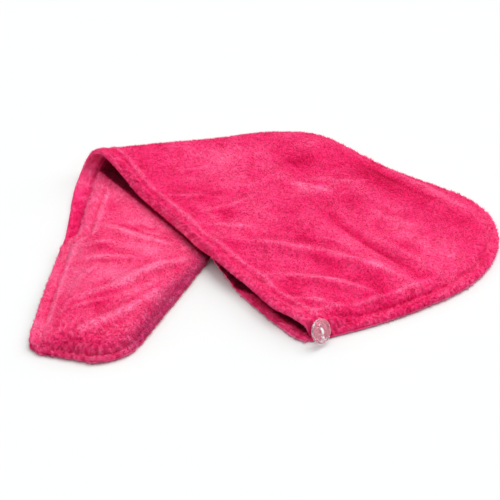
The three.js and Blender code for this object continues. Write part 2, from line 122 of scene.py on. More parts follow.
# Folds of each panel: from u and v, to u and v, bow, height, width
MAIN_FOLDS = {
    "left": [
        ((136, 20), (-8, 112), -11, 4.0, 9),
        ((75, 14), (-2, 76), -6, 2.8, 7),
        ((64, 127), (3, 135), 0, 1.2, 8),
        ((100, 114), (20, 120), 2, -2.2, 6),
        ((180, 122), (146, 142), 0, 2.0, 9),
        ((176, 136), (144, 173), 0, 1.8, 8),
        ((178, 199), (76, 211), 0, -2.4, 8),
        ((221, 12), (190, 53), 0, 1.6, 5),
        ((181, 15), (178, 86), 3, 1.5, 5),
        ((167, 13), (137, 50), 0, 1.6, 5),
        ((40, 8), (-6, 42), -3, 2.0, 5),
        ((-2, 63), (-14, 101), 0, 1.2, 5),
    ],
    "right": [
        ((437, 36), (452, 100), -4, 2.6, 6),
        ((465, 27), (464, 48), 0, 1.4, 4),
        ((487, 26), (486, 68), -1, 2.0, 5),
        ((466, 112), (550, 26), 10, 3.6, 6),
        ((542, 60), (559, 26), 3, 1.8, 4),
        ((488, 117), (591, 40), 11, 3.6, 7),
    ],
}
FOLD_FOOT = 1.7
FOLD_TIP = 0.03
# Painted light and shade of the folds: a higher power gives a narrower painted highlight on top
CREST_POWER = {"left": 24, "right": 9}
CREST_RISE = 2.5  # folds as high as this, or higher, get the palest painted highlight on top
FOOT_AT, FOOT_WIDTH = 1.15, 0.5  # painted shade at the foot on both sides of a fold: place and width, in fold widths
FOOT_END = -2
FOOT_PAINTED_SHADE = {"left": 0.2, "right": 0.5}
FOLD_FREE = (6, 22)  # from the seam
COVERED = (-2, 14)  # before the cap's hem, where the tail's relief begins


def smooth(x, low, high):
    """Rises from 0 to 1 between low and high."""
    k = np.clip((x - low) / (high - low), 0, 1)
    return k * k * (3 - 2 * k)


def fade(x, low, high):
    return 1 - smooth(x, low, high)


def between(x, start, end):
    return smooth(x, *start) * fade(x, *end)


def mix(a, b, k):
    return a + (b - a) * k


def unit(vectors):
    return vectors / np.maximum(np.linalg.norm(vectors, axis=-1, keepdims=True), TINY)


def sums_before(lengths):
    return np.concatenate([[0], np.cumsum(lengths)])


def roll(x):
    """Rises from 0 to 1 as a quarter of a circle does."""
    k = np.clip(x, 0, 1)
    return np.sqrt(1 - (1 - k) ** 2)


def rounded(distance, edge):
    radius, least = edge
    return mix(least, 1, roll(distance / radius))


KNOTS = 256


def noise(x, y, seed):
    """A smooth random field, from about -1 to 1, with one knot per unit."""
    knots = np.random.default_rng(seed).uniform(-1, 1, (KNOTS, KNOTS))
    i, j = np.floor(x).astype(int), np.floor(y).astype(int)
    fx, fy = smooth(x - i, 0, 1), smooth(y - j, 0, 1)

    def corner(a, b):
        return knots[(i + a) % KNOTS, (j + b) % KNOTS]

    near = mix(corner(0, 0), corner(1, 0), fx)
    far = mix(corner(0, 1), corner(1, 1), fx)
    return mix(near, far, fy)


def direction(angle):
    return np.array([math.cos(angle), math.sin(angle)])


# Directions in plan
ALONG = direction(HEM_DIRECTION)
ACROSS = np.array([ALONG[1], -ALONG[0]])
FOLD = direction(FOLD_DIRECTION)
REAR = np.array([-FOLD[1], FOLD[0]])
FOLD_START = FOLD_AT * ALONG @ REAR
ARCH_LENGTH = math.pi * math.hypot(ARCH_REACH, ARCH_RISE) / math.sqrt(2)
FOLD_END = FOLD_START + ARCH_LENGTH


def hem_edge(u, panel):
    """How far across the panel's hem edge lies, at each place along."""
    places, offsets = HEM_ROWS[:, 0], HEM_ROWS[:, HEM_COLUMN[panel]]
    i = np.clip(np.searchsorted(places, u, side="right") - 1, 0, len(places) - 2)
    k = smooth(u, places[i], places[i + 1])
    return mix(offsets[i], offsets[i + 1], k)


# Far edge: round cap corner, slightly curved taper, round tail corner
cap_centre = (CAP_BACK + CORNER[0], CAP_WIDTH - CORNER[1])
cap_turn = math.atan(TAPER * CORNER[0] / CORNER[1])
taper_start = (
    cap_centre[0] + CORNER[0] * math.sin(cap_turn),
    cap_centre[1] + CORNER[1] * math.cos(cap_turn),
)


def far_v(u):
    run = u - taper_start[0]
    return taper_start[1] - TAPER * run - TAPER_GAIN * run ** 2


def far_fall(u):
    return TAPER + 2 * TAPER_GAIN * (u - taper_start[0])


tail_centre_u = LENGTH - TAIL_CORNER[0]
tail_turn = math.atan(far_fall(tail_centre_u) * TAIL_CORNER[0] / TAIL_CORNER[1])
taper_end = tail_centre_u + TAIL_CORNER[0] * math.sin(tail_turn)
tail_centre_v = far_v(taper_end) - TAIL_CORNER[1] * math.cos(tail_turn)


def arc(centre, half_axes, start, end, steps):
    angle = np.linspace(start, end, steps)
    return np.stack([centre[0] + half_axes[0] * np.cos(angle),
                     centre[1] + half_axes[1] * np.sin(angle)], -1)


def far_edge_path():
    cap_corner = arc(cap_centre, CORNER, math.pi, math.pi / 2 - cap_turn,
                     OUTLINE_STEPS["cap"])
    u = np.linspace(taper_start[0], taper_end, OUTLINE_STEPS["taper"])[1:-1]
    tail_corner = arc((tail_centre_u, tail_centre_v), TAIL_CORNER,
                      math.pi / 2 - tail_turn, 0, OUTLINE_STEPS["tail"])
    return np.concatenate([cap_corner, np.stack([u, far_v(u)], -1), tail_corner])


far_path = far_edge_path()
far_run = sums_before(np.linalg.norm(np.diff(far_path, axis=0), axis=1))
far_run /= far_run[-1]


def far_edge(k):
    return np.stack([np.interp(k, far_run, far_path[:, 0]),
                     np.interp(k, far_run, far_path[:, 1])], -1)


def run_along(way, points):
    """How far pattern points lie along a direction in plan, as if the cloth were flat."""
    return points @ np.array([ALONG @ way, ACROSS @ way])


def far_edge_at(distance):
    """Where the far edge crosses a line parallel to the fold, past the cap's corner."""
    k = np.linspace(SEARCH_FROM, 1, OUTLINE_STEPS["search"])
    return float(np.interp(distance, run_along(REAR, far_edge(k)), k))


HEM_AT_FOLD = (FOLD_START / (ALONG @ REAR), FOLD_END / (ALONG @ REAR))
FAR_AT_FOLD = (far_edge_at(FOLD_START), far_edge_at(FOLD_END))
BLOCKS = {
    # block: from and to along the hem, from and to along the far edge as shares of it
    "cap": ((NAPE_END, HEM_AT_FOLD[0]), (0, FAR_AT_FOLD[0])),
    "fold": (HEM_AT_FOLD, FAR_AT_FOLD),
    "tail": ((HEM_AT_FOLD[1], LENGTH - END_SLANT), (FAR_AT_FOLD[1], 1)),
}


def columns(block, k, panel):
    """Hem points, far points and bow of the pattern's columns at the shares k of a block."""
    hem_span, far_span = BLOCKS[block]
    u = mix(*hem_span, k)
    v = hem_edge(u, panel)
    slide = np.ones_like(k)
    if block == "cap":
        slide = smooth(k, HEM_SHIFT["cap"], 1)
    if block == "tail":
        slide = fade(k, 0, HEM_SHIFT["tail"])
    hem = np.stack([u - slide * v * (ACROSS @ REAR) / (ALONG @ REAR), v], -1)
    bow = CAP_BOW["depth"] * (1 - k) ** CAP_BOW["power"] if block == "cap" else 0 * k
    return hem, far_edge(mix(*far_span, k)), bow


def seam_line():
    hem, far, bow = columns("cap", np.zeros(1), "left")
    t = np.linspace(0, 1, OUTLINE_STEPS["cap_end"], endpoint=False)[:, None]
    cap_end = mix(hem, far, t)
    cap_end[:, 0] -= bow[0] * np.sin(np.pi * t[:, 0])
    round_far = far_edge(np.linspace(0, 1, OUTLINE_STEPS["far"]))
    return np.concatenate([cap_end, round_far, [[LENGTH - END_SLANT, 0]]])


seam = seam_line()


def seam_distance(points, chunk=4000):
    """Distance from pattern points to the sewn edge, the place along it, and the way inward."""
    start, way = seam[:-1], np.diff(seam, axis=0)
    length = np.linalg.norm(way, axis=1)
    run = sums_before(length)
    inward = np.stack([way[:, 1], -way[:, 0]], -1) / length[:, None]
    flat = points.reshape(-1, 2)
    distance, place, towards = np.empty(len(flat)), np.empty(len(flat)), np.empty(flat.shape)
    for first in range(0, len(flat), chunk):
        part = flat[first:first + chunk]
        offset = part[:, None] - start
        k = np.clip((offset * way).sum(-1) / length ** 2, 0, 1)
        off = np.linalg.norm(offset - k[..., None] * way, axis=-1)
        best = off.argmin(1)
        rows = np.arange(len(part))
        distance[first:first + chunk] = off[rows, best]
        place[first:first + chunk] = run[best] + k[rows, best] * length[best]
        towards[first:first + chunk] = inward[best]
    shape = points.shape[:-1]
    return distance.reshape(shape), place.reshape(shape), towards.reshape(points.shape)


def lay(points):
    """Where pattern points come to lie: along the fold, towards the rear, turn and travel."""
    p, travel = run_along(FOLD, points), run_along(REAR, points)
    turn = np.pi * np.clip((travel - FOLD_START) / ARCH_LENGTH, 0, 1)
    q = np.where(travel > FOLD_END, FOLD_START - (travel - FOLD_END), travel)
    q = np.where((travel > FOLD_START) & (travel <= FOLD_END),
                 FOLD_START + ARCH_REACH * np.sin(turn), q)
    return p - FOLD_SKEW * turn / np.pi, q, turn, travel


def tail_edge_points():
    flat = np.array([(u, far_v(u)) for u in TAPER_PLACES])
    p, travel = run_along(FOLD, flat) - FOLD_SKEW, run_along(REAR, flat)
    return np.stack([p, FOLD_START - (travel - FOLD_END)], -1)


tail_edge = tail_edge_points()
tail_edge_way = unit(tail_edge[1] - tail_edge[0])


def right_of_tail(p, q):
    return (tail_edge[0, 0] - p) * tail_edge_way[1] - (tail_edge[0, 1] - q) * tail_edge_way[0]


def before_hem(p, q):
    return -(p * (FOLD @ ACROSS) + q * (REAR @ ACROSS)) - HEM_BULGE


def cap_section(p, q, v, edge):
    right = right_of_tail(p, q)
    full = mix(CAP_OVER_TAIL, CAP_THICKNESS, smooth(right, -DRAPE_CREST["thickness"], DRAPE))
    in_cap = smooth(v, *MOUTH_REACH)
    run, lip = mix(MOUTH_ROLL, CAP_ROLL, in_cap), mix(NAPE_LIP, SEAM_LIP, in_cap)
    thickness = mix(SEAM_THICKNESS, full, roll((edge - lip) / run))
    lift = SUPPORT["edge"] * fade(right, -DRAPE_CREST["height"], DRAPE)
    lift = lift + (SUPPORT["middle"] - SUPPORT["edge"]) * smooth(-right, *SUPPORT_REACH)
    return thickness, lift


def tail_section(p, q, u, v, edge):
    full = mix(TAIL_HEM_THICKNESS, TAIL_THICKNESS, smooth(v, *TAIL_HEM_REACH))
    unpressed = mix(SEAM_THICKNESS, full, roll((edge - TAIL_LIP) / TAIL_ROLL))
    pressed = mix(SEAM_THICKNESS, TAIL_UNDER_CAP, smooth(edge, *TAIL_PRESS))
    free = mix(pressed, unpressed, smooth(before_hem(p, q), *TAIL_FREE))
    closed = mix(SEAM_THICKNESS, full, roll((v - SEAM_LIP) / TAIL_ROLL))
    return mix(free, np.minimum(free, closed), smooth(u, SLIT_END - SLIT_RUN, SLIT_END + SLIT_RUN))


def fold_height(u, v, panel, folds):
    """How high the folds stand, and their painted light and shade: a painted highlight along the
    top of each fold and painted shade at its foot.
    """
    height, painted_fold_light = np.zeros_like(u), np.zeros_like(u)
    for start, end, bow, rise, width in folds[panel]:
        way = np.subtract(end, start)
        length = np.linalg.norm(way)
        way = way / length
        offset_u, offset_v = u - start[0], v - start[1]
        run = offset_u * way[0] + offset_v * way[1]
        k = np.clip(run / length, 0, 1)
        side = way[0] * offset_v - way[1] * offset_u - bow * 4 * k * (1 - k)
        reach = 1 - (side ** 2 + (run - k * length) ** 2) / (FOLD_FOOT * width) ** 2
        swell = np.sqrt(np.sin(np.pi * mix(FOLD_TIP, 1 - FOLD_TIP, k)))
        height += rise * np.clip(reach, 0, 1) ** 2 * swell
        foot = np.exp(-((np.abs(side) / width - FOOT_AT) / FOOT_WIDTH) ** 2) * (reach > FOOT_END)
        crest_and_foot_light = np.clip(reach, 0, 1) ** CREST_POWER[panel] - FOOT_PAINTED_SHADE[panel] * foot
        painted_fold_light += np.clip(rise, -CREST_RISE, CREST_RISE) / CREST_RISE * crest_and_foot_light * swell
    return height, painted_fold_light


def section(points, place, edge):
    """Thickness over both layers, height of the middle between them, and half the arch."""
    u, v = points[..., 0], points[..., 1]
    p, q, turn, travel = place
    cap, lift = cap_section(p, q, v, edge)
    tail = tail_section(p, q, u, v, edge)
    shoulder = mix(ARCH_CENTRE["hem"], ARCH_CENTRE["middle"], smooth(p, *ARCH_FALL))
    arch = mix(ARCH_CENTRE["far"], shoulder, roll(edge / ARCH_ROLL))
    half = (arch - tail / 2) / 2
    climb = fade(FOLD_START - travel, FOLD_SLOPE[1], FOLD_SLOPE[0])
    folded = (arch + tail / 2) / 2 + half * np.cos(turn)
    middle = np.where(travel > FOLD_START, folded, mix(lift + cap / 2, arch, climb))
    return mix(cap, tail, turn / np.pi), middle, half


# Relief that the cloth has on top of its main folds
SMALL_FOLDS = {
    "left": [
        ((250, 30), (236, 74), 0, 0.9, 5),
        ((205, 60), (196, 112), 4, 0.8, 6),
        ((120, 60), (60, 104), -6, 1.0, 6),
        ((52, 34), (6, 74), -5, 0.9, 4),
        ((28, 20), (0, 44), -2, 1.0, 4),
        ((110, 150), (52, 172), 5, 1.1, 8),
        ((232, 120), (206, 158), 4, 0.9, 8),
    ],
    "right": [
        ((420, 50), (438, 96), -6, 1.2, 5),
        ((486, 96), (520, 60), 5, 1.3, 5),
        ((540, 30), (568, 20), 0, 0.9, 4),
        ((500, 40), (516, 28), 0, 0.9, 4),
    ],
}
SWELLS = [(36, 0.55, 11), (17, 0.3, 12)]  # knot spacing, height, seed
LUMPS = [(1.9, 0.34, 31), (1.05, 0.2, 32)]  # the curls of the pile
COARSE_PILE = 1.2  # share by which curls are higher near the edges and all over the tail's end
EVEN_TAIL = 0.7  # share by which that is less along the tail
COARSE_REACH = (5, 20)
COARSE_END = (567, 583)
INNER_CURLS = (20, 30)  # inner faces are even from here on, across from the hem
HEM_STITCH = {"at": 11.5, "depth": 1.0, "width": 2.0}
CAP_STITCH = {"at": 10.5, "depth": 2.2, "width": 1.0, "until": (100, 190), "from_hem": (4, 14)}
TAIL_STITCH = {"at": 9.5, "depth": 1.3, "width": 1.6, "until": (565, 583)}
TAIL_CREST = {"at": 13.5, "height": 0.9, "width": 2.6}
HEM_PUFF = {"at": 6.5, "height": 1.0, "width": 5}  # the turned hem stands out as a soft roll
HEM_CREST = {"at": 16.5, "height": 0.9, "width": 2.4}
SEAM_PUFF = {"at": 5.5, "height": 0.8, "width": 3.5}
CAP_CREST = {"at": 19.5, "height": 1.0, "width": 2.6, "until": (100, 160), "from_hem": (14, 20)}
BAND_FROM_SEAM = (4, 16)  # the hem's band is flat nearer the seam
PILE_INSET = {"seam": 2.1, "hem": 1.6}  # the ground stops short of the pile's outline
INSET_REACH = 25
CORNER_ROUNDING = 9  # of the nape corner and the tail's hem corner
# Sag of the uppermost hem where it stands out past the lower one, by how far and until where
SAG = {"depth": 3.2, "inset": 2.8, "from": (1, 9), "until": (265, 300)}
# Puckers, with their spacing along and across
SEAM_PUCKER = {"height": 0.3, "spacing": (6.5, 11), "at": 7, "reach": 7, "seed": 21}
HEM_PUCKER = {"height": 0.3, "spacing": (8, 11), "at": 9, "reach": 7, "seed": 22}
FLOOR_CLEARANCE = 0.03

# Patches where the pile is painted lighter or darker: place, reach along and across, shade
TONE_PATCHES = {
    "left": [
        ((82, 196), (44, 11), -0.4),
        ((150, 193), (34, 13), -0.6),
        ((60, 118), (46, 4), -0.4),
        ((110, 115), (15, 6), -0.4),
        ((6, 84), (20, 9), -0.45),
        ((0, 45), (15, 12), -0.3),
        ((46, 68), (26, 8), -0.4),
        ((102, 78), (13, 8), -0.45),
        ((82, 96), (18, 7), -0.25),
        ((130, 150), (26, 10), -0.3),
        ((203, 150), (12, 14), -0.35),
        ((165, 43), (8, 8), -0.35),
        ((196, 48), (7, 12), -0.3),
        ((216, 44), (7, 14), -0.25),
        ((185, 20), (12, 5), -0.3),
        ((40, 209), (22, 10), -0.3),
        ((140, 94), (12, 12), -0.2),
        ((30, 20), (18, 5), -0.25),
        ((40, 136), (8, 5), -0.25),
        ((228, 82), (28, 28), 0.35),
        ((165, 124), (15, 6), 0.45),
        ((154, 144), (5, 15), 0.3),
        ((54, 99), (34, 6), 0.4),
        ((62, 154), (28, 14), 0.4),
        ((110, 222), (56, 5), 0.45),
        ((146, 44), (20, 14), 0.25),
        ((10, 156), (14, 16), 0.15),
        ((12, 22), (12, 10), 0.2),
    ],
    "right": [
        ((400, 33), (14, 8), -0.3),
        ((433, 62), (7, 14), -0.5),
        ((455, 40), (4, 10), -0.35),
        ((473, 38), (4, 13), -0.4),
        ((556, 52), (20, 11), -0.5),
        ((514, 62), (14, 12), 0.25),
        ((460, 12), (16, 9), 0.4),
        ((585, 8), (16, 8), 0.1),
        ((416, 58), (12, 14), 0.2),
        ((466, 80), (12, 10), 0.25),
        ((600, 40), (14, 36), -0.3),
    ],
}
TONE_PATCH_SHADE = 2.3
NAP_SHADES = [(24, 0.32, 51), (10, 0.26, 52), (4.2, 0.18, 53)]  # knot spacing, shade, seed

# Shades are added up, and the pile looks darker below 0 and lighter above it. Most of them are
# painted light and shade
PAINTED_CREST_LIGHT = 1.05  # painted highlight on top of a fold and painted shade at its foot
BAND_CREST_PAINTED_LIGHT = 0.9  # share of that painted highlight on the ridge beside a hem's band
CURL_LIGHT_AND_SHADE = 0.9  # painted light and shade for each millimetre of curl: lighter on the lumps, darker between them
STITCH_PAINTED_SHADE = 1.3  # painted shade taken off in a stitched groove
DEEP_STITCH = 2.4  # a groove as deep as this counts in full
STITCH_POWER = 1.5
# painted light on the rims of the upper and the lower layer
RIM_PAINTED_LIGHT = {"upper": 0.1, "lower": 1.0}
RIM_REACH = (1.5, 6)
NEARER_HEM = (-2, 2)  # by how much the seam is further off than the hem
TAIL_END = (583, 593)
TAIL_SHADE = 0.65  # all along the tail
COVERED_PAINTED_SHADE = {"arch": -4.6, "hem": -3}  # painted shade where the cap lies over the tail
COVERED_FROM = (-9, -6.5)
COVERED_RUN = (350, 400)
PAST_FOLD = (290, 310)
# Painted shade on the roll along the tail's sewn edge
ROLL = {"shade": -0.2, "reach": (-2, 16), "from": (400, 450), "until": (582, 612)}
ROLL_SHADE_COLOUR = (0.56, 0.58, 0.64)  # painted shade: the cloth's colour is multiplied by this on the tail's roll
INSIDE_PAINTED_SHADE = -4.2  # painted shade on inner faces, from so far across from the hem and the seam
INSIDE_FROM = {"left": (18, 23), "right": (6.5, 8.5)}
INSIDE_FROM_SEAM = (0, 3)
MOUTH_CORNER = {"nearer": 8, "run": (62, 92)}  # the painted shade reaches the hem where the mouth ends
RIBS = {"shade": 0.55, "spacing": 2.8, "across": 16, "seed": 61}  # painted light and shade of ribs on the tail's lower hem
RIB_PATCH = {"shade": -0.7, "from": (380, 394), "until": (440, 456), "across": (2, 5)}
ARCH_HEM_PAINTED_LIGHT = {"shade": 0.5, "across": (10, 16), "until": (345, 375)}  # painted light on the hem under the arch


def patch_tone(u, v, panel):
    """Shade of the pile, below 0 where it is darker and above 0 where it is lighter."""
    shade = np.zeros_like(u)
    for place, reach, strength in TONE_PATCHES[panel]:
        off = ((u - place[0]) / reach[0]) ** 2 + ((v - place[1]) / reach[1]) ** 2
        shade += TONE_PATCH_SHADE * strength * np.exp(-off)
    for spacing, strength, seed in NAP_SHADES:
        shade += strength * noise(u / spacing, v / spacing, seed)
    return shade


def groove(distance, stitch):
    return -stitch["depth"] * np.exp(-((distance - stitch["at"]) / stitch["width"]) ** 2)


def ridge(distance, form):
    return form["height"] * np.exp(-((distance - form["at"]) / form["width"]) ** 2)


def pucker(distance, run, form):
    band = np.exp(-((distance - form["at"]) / form["reach"]) ** 2)
    along, across = form["spacing"]
    return form["height"] * band * noise(run / along, distance / across, form["seed"])


def soft_relief(u, v, edge, along_seam, hem, panel):
    """Small folds, puckers and stitch grooves in millimetres, the painted light and shade of the
    small folds and band ridges, and how deep in a groove it is.
    """
    height, painted_fold_light = fold_height(u, v, panel, SMALL_FOLDS)
    for spacing, rise, seed in SWELLS:
        height += rise * noise(u / spacing, v / spacing, seed)
    height *= smooth(edge, *FOLD_FREE)
    height += pucker(edge, along_seam, SEAM_PUCKER)
    height += pucker(hem, u, HEM_PUCKER)
    open_hem = fade(u, SLIT_END - SLIT_RUN, SLIT_END + SLIT_RUN)
    on_cap = fade(along_seam, *CAP_STITCH["until"])
    before_end = fade(u, *TAIL_STITCH["until"])
    grooves = groove(hem, HEM_STITCH) * open_hem
    grooves += groove(hem, TAIL_STITCH) * (1 - open_hem) * before_end
    grooves += groove(edge, CAP_STITCH) * on_cap * smooth(v, *CAP_STITCH["from_hem"])
    on_band = smooth(edge, *BAND_FROM_SEAM)
    height += ridge(hem, HEM_PUFF) * on_band + ridge(edge, SEAM_PUFF) * on_cap
    band_crest = ridge(hem, HEM_CREST) * open_hem * on_band
    band_crest += ridge(hem, TAIL_CREST) * (1 - open_hem) * before_end
    near_nape = fade(along_seam, *CAP_CREST["until"])
    band_crest += ridge(edge, CAP_CREST) * near_nape * smooth(hem, *CAP_CREST["from_hem"])
    height += band_crest
    # The ridges beside the bands also get a painted highlight
    painted_fold_light += BAND_CREST_PAINTED_LIGHT * band_crest
    return height + grooves, painted_fold_light, np.clip(-grooves / DEEP_STITCH, 0, 1) ** STITCH_POWER


def curls(u, v, edge, hem):
    """The lumps of the pile, in millimetres."""
    near_edge = fade(np.minimum(edge, hem), *COARSE_REACH)
    near_edge = near_edge * (1 - EVEN_TAIL * smooth(u, *PAST_FOLD))
    near_end = smooth(u, *COARSE_END)
    height = np.zeros_like(u)
    for spacing, rise, seed in LUMPS:
        height += rise * noise(u / spacing, v / spacing, seed)
    return height * (1 + COARSE_PILE * np.maximum(near_edge, near_end))


def normals_of(grid):
    down, over = np.gradient(grid, axis=0), np.gradient(grid, axis=1)
    return unit(np.cross(down, over))


def sagging(u, v):
    """How much of the full sag the uppermost hem has at each place, from 0 to 1."""
    upper, lower = hem_edge(u, "left"), hem_edge(u, "right")
    bare = np.clip((lower - v) / np.maximum(lower - upper, 1), 0, 1)
    standing_out = smooth(lower - upper, *SAG["from"])
    return smooth(bare, 0, 1) * standing_out * fade(u, *SAG["until"])


def corner_inset(edge, hem, inward):
    """The way from a place near a square corner to its place in the rounded corner."""
    off = np.stack([CORNER_ROUNDING - edge, CORNER_ROUNDING - hem], -1)
    off = np.maximum(off, 0)
    reach = np.maximum(np.linalg.norm(off, axis=-1), TINY)
    pull = off * (1 - off.max(-1) / reach)[..., None]
    step = pull[..., :1] * inward
    step[..., 1] += pull[..., 1]
    return step


def drawn_in(points, edge, hem, inward, sag):
    """Pattern points moved in from the outline, so that the pile and not the ground reaches it."""
    inset = PILE_INSET["seam"] * fade(edge, 0, INSET_REACH)[..., None] * inward
    inset[..., 1] += PILE_INSET["hem"] * fade(hem, 0, INSET_REACH) + SAG["inset"] * sag
    inset += corner_inset(edge, hem, inward)
    return points + inset


# Painted light on the rims, most on the lower ones that face the floor
def painted_rim_light(u, edge, hem, turn, panel):
    off_roll = np.maximum(smooth(edge - hem, *NEARER_HEM), smooth(u, *TAIL_END))
    below = 1 - turn / np.pi if panel == "right" else turn / np.pi * off_roll
    rim = fade(np.minimum(edge, hem), *RIM_REACH)
    return mix(RIM_PAINTED_LIGHT["upper"], RIM_PAINTED_LIGHT["lower"], below) * rim


def tail_shade(u, edge, before):
    """Painted shade of the tail's uppermost pile under the cap and on its roll, with the lift that
    the whole tail gets, and how much of the roll's painted shade colour it takes, from 0 to 1.
    """
    painted_shade_under_cap = mix(COVERED_PAINTED_SHADE["arch"], COVERED_PAINTED_SHADE["hem"], smooth(u, *COVERED_RUN))
    painted_shade_under_cap = painted_shade_under_cap * fade(before, *COVERED_FROM) * smooth(u, *PAST_FOLD)
    on_roll = between(u, ROLL["from"], ROLL["until"]) * fade(edge, *ROLL["reach"])
    return painted_shade_under_cap + ROLL["shade"] * on_roll + TAIL_SHADE, on_roll


def inside_shade(u, edge, hem, panel):
    """Painted shade of the pile on an inner face, dark inside, painted light and shade of ribs with
    a darker patch where the tail's hem shows, and painted light on the hem under the arch.
    """
    nearer = MOUTH_CORNER["nearer"] * smooth(u, *MOUTH_CORNER["run"])
    inside = smooth(hem + nearer * (panel == "right"), *INSIDE_FROM[panel])
    shade = INSIDE_PAINTED_SHADE * inside * smooth(edge, *INSIDE_FROM_SEAM)
    ribs = noise(u / RIBS["spacing"], hem / RIBS["across"], RIBS["seed"])
    shade += RIBS["shade"] * ribs * smooth(u, *PAST_FOLD)
    patch = between(u, RIB_PATCH["from"], RIB_PATCH["until"])
    shade += RIB_PATCH["shade"] * patch * smooth(hem, *RIB_PATCH["across"])
    on_arch = between(u, PAST_FOLD, ARCH_HEM_PAINTED_LIGHT["until"])
    return shade + ARCH_HEM_PAINTED_LIGHT["shade"] * on_arch * fade(hem, *ARCH_HEM_PAINTED_LIGHT["across"])


def two_faces(place, middle, half, core, half_wall, panel):
    """Outer and inner surface, on both sides of a core that leans over where the cloth turns."""
    p, q, turn, _ = place
    lean = unit(np.stack([np.sin(turn) / ARCH_REACH, np.cos(turn) / np.maximum(half, 1)], -1))

    def at(w):
        rear = q + SIDE[panel] * w * lean[..., 0]
        plan = NAPE + SHIFT + p[..., None] * FOLD + rear[..., None] * REAR
        return np.concatenate([plan, (middle + SIDE[panel] * w * lean[..., 1])[..., None]], -1)

    return at(core + half_wall), at(core - half_wall)


def cloth(points, panel):
    """Outer and inner surface of a panel with its relief, and the fields that go with them."""
    u, v = points[..., 0], points[..., 1]
    edge, along_seam, inward = seam_distance(points)
    hem = v - hem_edge(u, panel)
    sag = sagging(u, v) if panel == "left" else np.zeros_like(u)
    place = lay(drawn_in(points, edge, hem, inward, sag))
    p, q, turn, _ = place
    before = before_hem(p, q)

    # Thickness of both layers and of this one, and the height of its relief
    thickness, middle, half = section(points, place, edge)
    full = thickness * rounded(edge, SEAM_EDGE)
    gap = LAYER_GAP * smooth(edge, *GAP_FROM)
    past_band = smooth(hem, HEM_BAND - BAND_STEP, HEM_BAND + BAND_STEP)
    wall = np.minimum(mix(HEM_WALL, WALL, past_band), (full - gap) / 2)
    rise, painted_fold_light = fold_height(u, v, panel, MAIN_FOLDS)
    small_rise, painted_small_fold_light, stitched = soft_relief(u, v, edge, along_seam, hem, panel)
    free = smooth(edge, *FOLD_FREE)
    bare = smooth(before, *COVERED) if panel == "right" else 1
    rise = np.maximum((rise * free + small_rise) * bare, wall + gap / 2 - full / 2)
    rise -= SAG["depth"] * sag
    core = full / 2 - wall / 2 + rise
    half_wall = wall / 2 * rounded(hem, HEM_EDGE)

    # The two faces with their curls
    outer, inner = two_faces(place, middle, half, core, half_wall, panel)
    normal = -SIDE[panel] * normals_of(outer)
    curl = curls(u, v, edge, hem)
    outer = outer + normal * curl[..., None]
    inner = inner - normal * curl[..., None] * fade(hem, *INNER_CURLS)[..., None]
    for surface in (outer, inner):
        surface[..., 2] = np.maximum(surface[..., 2], FLOOR_CLEARANCE)

    # Painted light and shade of the pile, on top of its patches of lighter and darker pile
    shade = patch_tone(u, v, panel) + PAINTED_CREST_LIGHT * (painted_fold_light * free + painted_small_fold_light) * bare
    shade += painted_rim_light(u, edge, hem, turn, panel)
    painted_roll_shade = np.zeros_like(u)
    if panel == "right":
        shade_of_tail, painted_roll_shade = tail_shade(u, edge, before)
        shade += shade_of_tail
    shades = {"outer_pile": CURL_LIGHT_AND_SHADE * curl + shade - STITCH_PAINTED_SHADE * stitched,
              "inner_pile": CURL_LIGHT_AND_SHADE * curl + inside_shade(u, edge, hem, panel)}
    return {"outer": outer, "inner": inner, "normal": normal, "u": u, "v": v, "edge": edge,
            "hem": hem, "before_hem": before, "stitched": stitched, "painted_roll_shade": painted_roll_shade, **shades}


# Grids on the pattern: distances from an edge at which its rounding has rows of points
HEM_STATIONS = np.array([0, 0.2, 0.6, 1.2, 2, 3])
FAR_STATIONS = np.array([0, 0.3, 0.9, 1.8, 3])
NO_ROUNDING = np.array([0.0])
USUAL_WIDTH = 200  # of the cloth that these distances are shares of


def stations(near, far, count, span):
    """Shares from 0 to 1 that are close together near both ends."""
    start, end = near / span, 1 - far[::-1] / span
    even = np.linspace(start[-1], end[0], count + 1)[1:-1]
    return np.concatenate([start, even, end])


def grid_points(panel, spans, rows):
    """Pattern points of a panel's columns (spans of block, shares) and rows (shares across)."""
    parts = []
    for block, shares in spans:
        hem, far, bow = columns(block, shares, panel)
        points = mix(hem[:, None], far[:, None], rows[None, :, None])
        points[..., 0] -= bow[:, None] * np.sin(np.pi * rows)[None]
        parts.append(points)
    return np.concatenate(parts)


def add_object(name, data):
    thing = bpy.data.objects.new(name, data)
    bpy.context.scene.collection.objects.link(thing)
    return thing


def new_mesh(name, points, faces):
    """A mesh object from points in millimetres and a list of face arrays, one row a face."""
    mesh = bpy.data.meshes.new(name)
    corners = np.concatenate([f.ravel() for f in faces])
    sizes = np.concatenate([np.full(len(f), f.shape[1]) for f in faces])
    mesh.vertices.add(len(points))
    mesh.vertices.foreach_set("co", (points * MM).astype(np.float32).ravel())
    mesh.loops.add(len(corners))
    mesh.loops.foreach_set("vertex_index", corners.astype(np.int32))
    mesh.polygons.add(len(sizes))
    starts = sums_before(sizes)[:-1]
    mesh.polygons.foreach_set("loop_start", starts.astype(np.int32))
    mesh.polygons.foreach_set("use_smooth", np.ones(len(sizes), bool))
    mesh.update(calc_edges=True)
    return add_object(name, mesh)


def paint(piece, name, values):
    """A number on each vertex that the material reads."""
    layer = piece.data.attributes.new(name, "FLOAT", "POINT")
    layer.data.foreach_set("value", np.asarray(values, np.float32).ravel())


